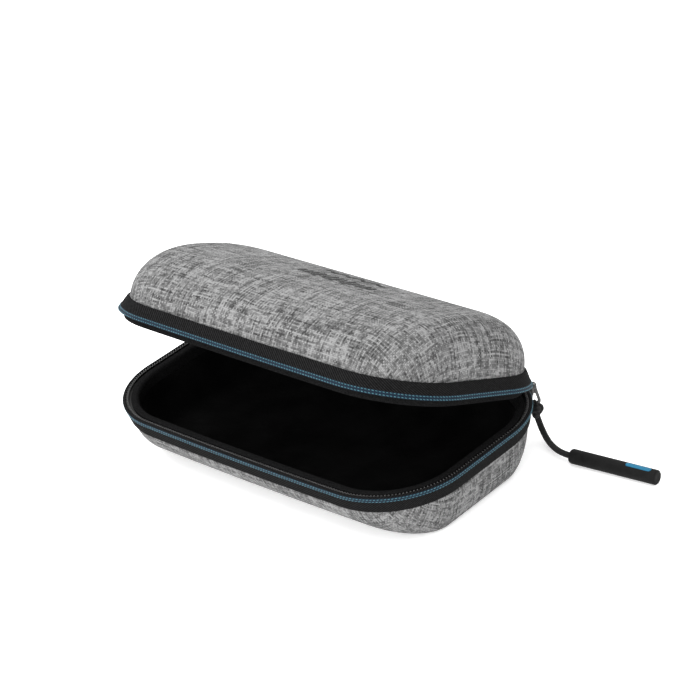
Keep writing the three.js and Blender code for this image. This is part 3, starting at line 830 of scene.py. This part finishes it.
def stitch_row(half, row, distance):
    """One row of blue stitches lying along the tape's outer face."""
    offset, depth = tape_face(half, distance, STITCH_LIFT)
    places, ahead = rim_path(half, offset, depth, STITCH_PITCH)
    near, far = tape_face(half, 0, 0), tape_face(half, 1, 0)
    lean = far - near
    side = np.cross(ahead, (0, 0, 1))
    side /= np.linalg.norm(side, axis=1, keepdims=True)
    side *= np.sign(np.einsum("ij,ij->i", side, places - places.mean(0)))[:, None]
    down = side * lean[0] + np.array([0, 0, 1.0]) * lean[1] * half["side"]
    out = np.cross(ahead, down)
    out *= np.sign(np.einsum("ij,ij->i", out, side))[:, None]
    first = ahead * math.cos(STITCH_SLANT) + down * math.sin(STITCH_SLANT)
    axes = np.stack([first, np.cross(out, first), out], 1)
    shape = capsule(STITCH_LENGTH, STITCH_RADIUS)
    name = f"{half['name']}_stitches_{row}"
    return scatter(name, shape, places, axes, BLUE_THREAD, place_of(half))


def coil(half):
    """The coil: a filament wound round the tape's free edge, crossing its top square on and
    running on to the next turn underneath."""
    skipped = int(CORNER_STEPS * COIL_CORNER_SHARE)
    stations = ZIP_STATIONS[skipped:-skipped]
    offset, depth = COIL_PLACES[half["name"]]
    centre, ahead = rim_path(half, offset, depth, COIL_PITCH / COIL_TURN_STEPS, stations)
    side = np.cross(ahead, (0, 0, 1))
    turn = np.arange(len(centre)) * 2 * math.pi / COIL_TURN_STEPS
    angle = turn + COIL_CROSSING_SPEED * np.sin(turn - math.pi / 2)
    upward = np.array([0, 0, 1.0])
    path = (centre + COIL_HALF_WIDTH * np.cos(angle)[:, None] * side
            + COIL_HALF_HEIGHT * np.sin(angle)[:, None] * upward)
    return wire(f"{half['name']}_coil", path, COIL_WIRE_RADIUS, 5, NYLON, place_of(half))


# ---- Bevelled copies of small CAD pieces ----
FLAT_ENOUGH = math.radians(2)
BEVELLED_FROM = math.radians(32)
SHARP_FROM = math.radians(40)
BEVEL_SEGMENTS = 3
STOP_BEVEL = 0.3
SLIDER_BEVEL = 0.28
TAB_BEVEL = 0.22


def apply_modifier(made, modifier):
    """Applies the modifier and leaves the mesh smooth but for its sharp edges."""
    with bpy.context.temp_override(object=made, active_object=made):
        bpy.ops.object.modifier_apply(modifier=modifier.name)
    made.data.polygons.foreach_set("use_smooth", [True] * len(made.data.polygons))
    made.data.set_sharp_from_angle(angle=SHARP_FROM)


def place_piece(piece, body, slot, *nodes):
    """Puts a piece on its body, in place of the CAD nodes it finishes; its slot is not used."""
    if nodes:
        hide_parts(*nodes)
    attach(piece, body)
    return piece


def refined(node, body, width):
    """A CAD metal piece copied with its edges rounded by this width, in place of the node."""
    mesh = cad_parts[node].data.copy()
    made = link(bpy.data.objects.new(f"{node}_finished", mesh))
    kit = bmesh.new()
    kit.from_mesh(mesh)
    bmesh.ops.remove_doubles(kit, verts=kit.verts, dist=1e-6)
    bmesh.ops.dissolve_limit(kit, angle_limit=FLAT_ENOUGH, verts=kit.verts, edges=kit.edges)
    kit.to_mesh(mesh)
    kit.free()
    bevel = made.modifiers.new("round", "BEVEL")
    bevel.width = width * MM
    bevel.segments = BEVEL_SEGMENTS
    bevel.limit_method = "ANGLE"
    bevel.angle_limit = BEVELLED_FROM
    apply_modifier(made, bevel)
    mesh.materials.clear()
    mesh.materials.append(METAL)
    return place_piece(made, body, "black_metal", node)


# ---- The pull: cord, knot, loop, grip and tab ----
def local(place, *point):
    return place @ Vector(point)


CORD_CLEARANCE = 0.35
CORD_HANG = Vector((1.5, 1.5, -12.6))
CORD_LEAD_IN = 11
CORD_STEPS = 23


def cord_route():
    """The free cord's line: hanging from the knot, then turning along the ground."""
    top = local(pull_place, 0, 0, -KNOT_DROP - KNOT_RADIUS - CORD_CLEARANCE)
    end = local(grip_place, -CORD_CLEARANCE, 0, 0)
    handles = (top, top + CORD_HANG, local(grip_place, -CORD_LEAD_IN, 0, 0), end)
    route = []
    for i in range(CORD_STEPS + 1):
        t = i / CORD_STEPS
        shares = ((1 - t) ** 3, 3 * t * (1 - t) ** 2, 3 * t * t * (1 - t), t ** 3)
        route.append(sum((h * s for h, s in zip(handles, shares)), Vector()))
    return route


def make_cord():
    route = cord_route()
    length = sum((b - a).length for a, b in zip(route, route[1:]))
    piece = wire("free_cord", [tuple(p) for p in route], CORD_RADIUS, 16, BRAID)
    return place_piece(piece, "cord_pull", "cord", "pull_cord"), route, length


KNOT_SIZE = 0.8
KNOT_WIRE_RADIUS = 1.75
KNOT_STEPS = 120


def make_knot():
    """An overhand knot pulled tight against the tab: a cord wound through itself. It leans
    along the rim at its top, where it lies on the tab's face."""
    t = np.linspace(0, 2 * math.pi, KNOT_STEPS + 1)[:-1]
    rise = KNOT_SIZE * (np.cos(t) - 2 * np.cos(2 * t))
    line = np.stack([
        0.5 * np.sin(3 * t) + 0.65 * np.maximum(rise, 0) + 0.3,
        0.5 * (np.sin(t) + 2 * np.sin(2 * t)) + 0.2 * rise,
        rise - KNOT_DROP + 0.75], 1)
    closed = np.concatenate([line, line[:2]])
    piece = wire("knot", closed, KNOT_WIRE_RADIUS, 14, BRAID, pull_place)
    return place_piece(piece, "cord_pull", "cord", "cord_knot")


def make_loop():
    """Both strands of the cord's loop, up through the tab's hole and down to the knot."""
    foot = -KNOT_DROP + LOOP_FOOT_IN_KNOT
    knee = foot + LOOP_BEND_RADIUS
    path = [(LOOP_BEND_RADIUS * 0.7, 0, foot), (LOOP_BEND_RADIUS, 0, knee)]
    for i in range(13):
        angle = i / 12 * math.pi
        path.append((LOOP_BEND_RADIUS * math.cos(angle), 0,
                     -LOOP_TOP - LOOP_BEND_RADIUS * (1 - math.sin(angle))))
    path += [(-LOOP_BEND_RADIUS, 0, knee), (-LOOP_BEND_RADIUS * 0.7, 0, foot)]
    piece = wire("loop", path, LOOP_STRAND_RADIUS, 12, BRAID, pull_place)
    return place_piece(piece, "cord_pull", "cord", "cord_loop")


GRIP_ROUNDING = 0.9
GRIP_STRAIGHT_FROM = 6
GRIP_SIDES = 48
ROUNDING_ANGLES = [i / 6 * math.pi / 2 for i in range(7)]


def grip_profile():
    """(Place, radius) along the grip: the hole round the cord, a straight barrel, rounded ends."""
    near, far = GRIP_ROUNDING, GRIP_LENGTH - GRIP_ROUNDING
    inner = GRIP_RADIUS - GRIP_ROUNDING
    profile = [(1.5, 0.02), (1.2, 1.3), (0.0, CORD_RADIUS), (0.0, 2.2)]
    for angle in reversed(ROUNDING_ANGLES):
        profile.append((near * (1 - math.sin(angle)), inner + GRIP_ROUNDING * math.cos(angle)))
    for x in np.linspace(GRIP_STRAIGHT_FROM, GRIP_LENGTH - GRIP_STRAIGHT_FROM, 6):
        profile.append((x, GRIP_RADIUS))
    for angle in ROUNDING_ANGLES:
        profile.append((far + GRIP_ROUNDING * math.sin(angle),
                        inner + GRIP_ROUNDING * math.cos(angle)))
    return profile + [(GRIP_LENGTH, 1.2), (GRIP_LENGTH - 0.15, 0.02)]


def make_grip():
    """The moulded grip, turned round its line, with its recess cut by the inlay's shape."""
    profile = grip_profile()
    sides = GRIP_SIDES
    angle = np.arange(sides) * 2 * math.pi / sides
    points = np.stack([np.stack([np.full(sides, x), r * np.cos(angle), r * np.sin(angle)], 1)
                       for x, r in profile], 1)
    u = np.tile(np.array([x for x, _ in profile]), (sides + 1, 1))
    around = np.arange(sides + 1) * 2 * math.pi * GRIP_RADIUS / sides
    v = np.tile(around[:, None], (1, len(profile)))
    piece = grid_object("grip_barrel", points, u, v, RUBBER, close_rows=True, caps=True,
                        place=grip_place)
    cutter = inlay_block("inlay_cutter", INLAY_GAP, INLAY_CUTTER_RISE)
    cut = piece.modifiers.new("recess", "BOOLEAN")
    cut.operation = "DIFFERENCE"
    cut.solver = "EXACT"
    cut.object = cutter
    apply_modifier(piece, cut)
    bpy.data.objects.remove(cutter)
    return place_piece(piece, "cord_pull", "grip_rubber", "pull_grip")


INLAY_GAP = 0.12
INLAY_CUTTER_RISE = 1.0
INLAY_RISE = 0.04
INLAY_DEPTH = 0.7


def inlay_block(name, grow, above):
    """The inlay's outline over the barrel's top, curved with it and standing above it."""
    centre = GRIP_LENGTH - INLAY_FROM_END - INLAY_LENGTH / 2
    half_length, half_width = INLAY_LENGTH / 2 + grow, INLAY_WIDTH / 2 + grow
    corner = half_width * 0.85
    outline = []
    for k, (sx, sy) in enumerate(((1, 1), (-1, 1), (-1, -1), (1, -1))):
        for i in range(6):
            angle = (k + i / 5) * math.pi / 2
            outline.append((sx * (half_length - corner) + corner * math.cos(angle),
                            sy * (half_width - corner) + corner * math.sin(angle)))
    rings = []
    for shrink, lift in ((1.0, -INLAY_DEPTH), (1.0, above - 0.08), (0.94, above),
                         (0.5, above + 0.03), (0.05, above + 0.04)):
        ring = []
        for x, y in outline:
            y2 = y * shrink
            x2 = x if shrink > 0.9 else x * (0.9 + 0.1 * shrink)
            surface = math.sqrt(GRIP_RADIUS ** 2 - y2 ** 2)
            ring.append((centre + x2, y2, surface + lift))
        rings.append(ring)
    points = np.array(rings).transpose(1, 0, 2)
    u = np.concatenate([points[..., 0], points[:1, :, 0]])
    v = np.concatenate([points[..., 1], points[:1, :, 1]])
    return grid_object(name, points, u, v, INLAY, close_rows=True, caps=True, place=grip_place)


def make_inlay():
    piece = inlay_block("blue_inlay", 0.0, INLAY_RISE)
    return place_piece(piece, "cord_pull", "blue_plastic", "grip_inlay")


# ---- Making everything: camera and cord first ----
make_camera()
make_lights()

free_cord, cord_points, cord_length = make_cord()
cord_company = [make_loop(), make_knot(), make_grip(), make_inlay()]


COVER_LEVELS = 34
LINING_LEVELS = 22


def make_half(half):
    """Cover, lining, binding, tape, stitching, coil and stops of the base or the lid."""
    name = half["name"]
    cover = dish(f"{name}_woven_cover", half, (COVER_OUTER, COVER_INNER), COVER_RIMS[name],
                 HEATHER, COVER_LEVELS)
    lining = dish(f"{name}_velvet_lining", half, (LINING_OUTER, LINING_INNER),
                  LINING_RIMS[name], VELVET, LINING_LEVELS)
    binding = band(f"{name}_felt_binding", half, rounded(BINDINGS[name], BINDING_ROUNDING), FELT)
    tape = band(f"{name}_twill_tape", half, rounded(TAPES[name], TAPE_ROUNDING), TAPE,
                ZIP_STATIONS, closed=False)
    ribbon_corners = [tape_face(half, distance, lift) for distance, lift in (
        (0.0, RIBBON_FOOT), (0.0, RIBBON_RISE),
        (RIBBON_WIDTH, RIBBON_RISE), (RIBBON_WIDTH, RIBBON_FOOT))]
    ribbon = band(f"{name}_blue_ribbon", half, rounded(ribbon_corners, RIBBON_ROUNDING),
                  BLUE_RIBBON, ZIP_STATIONS, closed=False)
    rows = [stitch_row(half, i + 1, distance) for i, distance in enumerate(STITCH_ROWS)]
    teeth = coil(half)
    place_piece(cover, name, "heather_fabric", f"{name}_cover")
    place_piece(lining, name, "velvet", f"{name}_lining")
    place_piece(binding, name, "felt", f"{name}_binding")
    place_piece(tape, name, "zip_tape", f"{name}_zip_tape")
    place_piece(ribbon, name, "blue_thread", f"{name}_zip_stitching")
    place_piece(teeth, name, "coil", f"{name}_zip_coil")
    for row in rows:
        place_piece(row, name, "blue_thread")
    for end in ("right", "left"):
        refined(f"{name}_zip_stop_{end}", name, STOP_BEVEL)
    shell_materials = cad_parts[f"{name}_shell"].data.materials
    shell_materials.clear()
    shell_materials.append(FOAM)


make_half(BASE)
make_half(LID)


# ---- The fabric hinge ----
HINGE_OVERLAP = 0.3
HINGE_STEPS = 40
HINGE_COLUMNS = 25


def hinge_strip(name, base_points, lid_points, thickness, material, nodes):
    """One strip from base to lid along the straight back, which bends at the hinge line."""
    half_length = HALF_LENGTH - CORNER_RADIUS + HINGE_OVERLAP
    line = [(HALF_WIDTH + offset, height(BASE, depth)) for offset, depth in base_points]
    for offset, depth in lid_points:
        turned = lid_opening @ Vector((0, HALF_WIDTH + offset, height(LID, depth)))
        line.append((turned.y, turned.z))
    line = np.array(line)
    run = running_length(line)
    at = np.linspace(0, run[-1], HINGE_STEPS)
    smooth = np.stack([np.interp(at, run, line[:, k]) for k in range(2)], 1)
    for _ in range(2):
        smooth[1:-1] = (smooth[:-2] + 2 * smooth[1:-1] + smooth[2:]) / 4
    ahead = np.gradient(smooth, axis=0)
    ahead /= np.linalg.norm(ahead, axis=1, keepdims=True)
    inward = np.stack([-ahead[:, 1], ahead[:, 0]], 1)
    loop = np.concatenate([smooth, (smooth + inward * thickness)[::-1]])
    x = np.linspace(half_length, -half_length, HINGE_COLUMNS)
    points = np.zeros((len(loop), len(x), 3))
    points[..., 0] = x
    points[..., 1:] = loop[:, None]
    around = running_length(np.concatenate([loop, loop[:1]]))
    v = np.tile(around[:, None], (1, len(x)))
    u = np.tile(x, (len(loop) + 1, 1))
    piece = grid_object(name, points, u, v, material, close_rows=True, caps=True)
    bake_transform(piece)
    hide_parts(*nodes)
    return piece


hinge_strip("hinge_outer_fabric",
            [(-2.2, 9.9), (-1.6, 9.0), (0.5, 0.4), (0.9, -1.0)],
            [(0.9, -1.0), (0.5, 0.6), (-3.2, 6.0), (-4.2, 6.7)],
            0.8, TAPE, ("hinge_panel_lower", "hinge_panel_upper"))
hinge_strip("hinge_inner_fabric",
            [(-3.0, -0.4), (-1.6, -0.9), (-0.6, -1.2)],
            [(-0.6, -1.2), (-1.6, -0.9), (-3.0, -0.4)],
            0.5, FELT, ("hinge_lining_lower", "hinge_lining_upper"))


# ---- The embroidered motif in satin stitch: sound bars, and behind them a sound wave ----
MOTIF_CENTRE_X = 5.0
MOTIF_BARS = 13
MOTIF_PITCH = 3.6
BAR_ROW_Y = -1.0
BAR_WIDTH = 2.5
WAVE_ROW_Y = 12.0
WAVE_LENGTH = 38.0
WAVE_SWING = 1.7
WAVE_PERIOD = 9.5
WAVE_WIDTH = 2.1
MOTIF_THREAD_PITCH = 0.34
MOTIF_THREAD_RADIUS = 0.21
MOTIF_THREAD_LIFT = 0.12
MOTIF_THREAD_WOBBLE = 0.05


def bar_length(index):
    """Length of one sound bar: tall in the middle, with a swing between neighbours."""
    t = (index - (MOTIF_BARS - 1) / 2) / (MOTIF_BARS / 2)
    return 5.0 + 5.5 * math.cos(t * math.pi / 2) * (0.62 + 0.38 * math.cos(index * 2.3))


def on_crown(x, y, heading):
    """A thread's place on the lid's crown, and its three axes; it lies square to heading."""
    slope = lid_crown_height(x, y + 0.5) - lid_crown_height(x, y - 0.5)
    ahead = Vector((math.cos(heading), math.sin(heading), slope * math.sin(heading))).normalized()
    up = Vector((0, -slope, 1)).normalized()
    across = up.cross(ahead)
    return Vector((x, y, lid_crown_height(x, y))) + up * MOTIF_THREAD_LIFT, (across, -ahead, up)


def satin_row(name, threads, width):
    """Threads lying side by side, each as long as the row is wide."""
    places = np.array([list(place) for place, _ in threads])
    axes = np.array([[list(axis) for axis in triple] for _, triple in threads])
    shape = capsule(width, MOTIF_THREAD_RADIUS)
    piece = scatter(name, shape, places, axes, MOTIF_THREAD, lid_opening)
    place_piece(piece, "lid", "motif_thread", "lid_motif")


def make_motif():
    bars = []
    for index in range(MOTIF_BARS):
        x = MOTIF_CENTRE_X + (index - (MOTIF_BARS - 1) / 2) * MOTIF_PITCH
        length = bar_length(index)
        for step in range(int(length / MOTIF_THREAD_PITCH)):
            y = BAR_ROW_Y - length / 2 + (step + 0.5) * MOTIF_THREAD_PITCH
            heading = math.pi / 2 + MOTIF_THREAD_WOBBLE * (-1) ** step
            bars.append(on_crown(x, y, heading))
    satin_row("embroidered_sound_bars", bars, BAR_WIDTH)
    wave = []
    for step in range(int(WAVE_LENGTH / MOTIF_THREAD_PITCH)):
        run = (step + 0.5) * MOTIF_THREAD_PITCH
        phase = run * 2 * math.pi / WAVE_PERIOD
        x = MOTIF_CENTRE_X + run - WAVE_LENGTH / 2
        heading = math.atan(WAVE_SWING * 2 * math.pi / WAVE_PERIOD * math.cos(phase))
        wave.append(on_crown(x, WAVE_ROW_Y + WAVE_SWING * math.sin(phase), heading))
    satin_row("embroidered_wave", wave, WAVE_WIDTH)


make_motif()
refined("slider_body", "slider", SLIDER_BEVEL)
refined("puller_tab", "puller", TAB_BEVEL)


# ---- The floor ----
FLOOR_HALF_SIZE = 6.0


def make_floor():
    corners = [(sx * FLOOR_HALF_SIZE, sy * FLOOR_HALF_SIZE, 0)
               for sx, sy in ((-1, -1), (1, -1), (1, 1), (-1, 1))]
    mesh = bpy.data.meshes.new("floor")
    mesh.from_pydata(corners, [], [(0, 1, 2, 3)])
    mesh.materials.append(floor_paint())
    link(bpy.data.objects.new("floor", mesh))


make_floor()
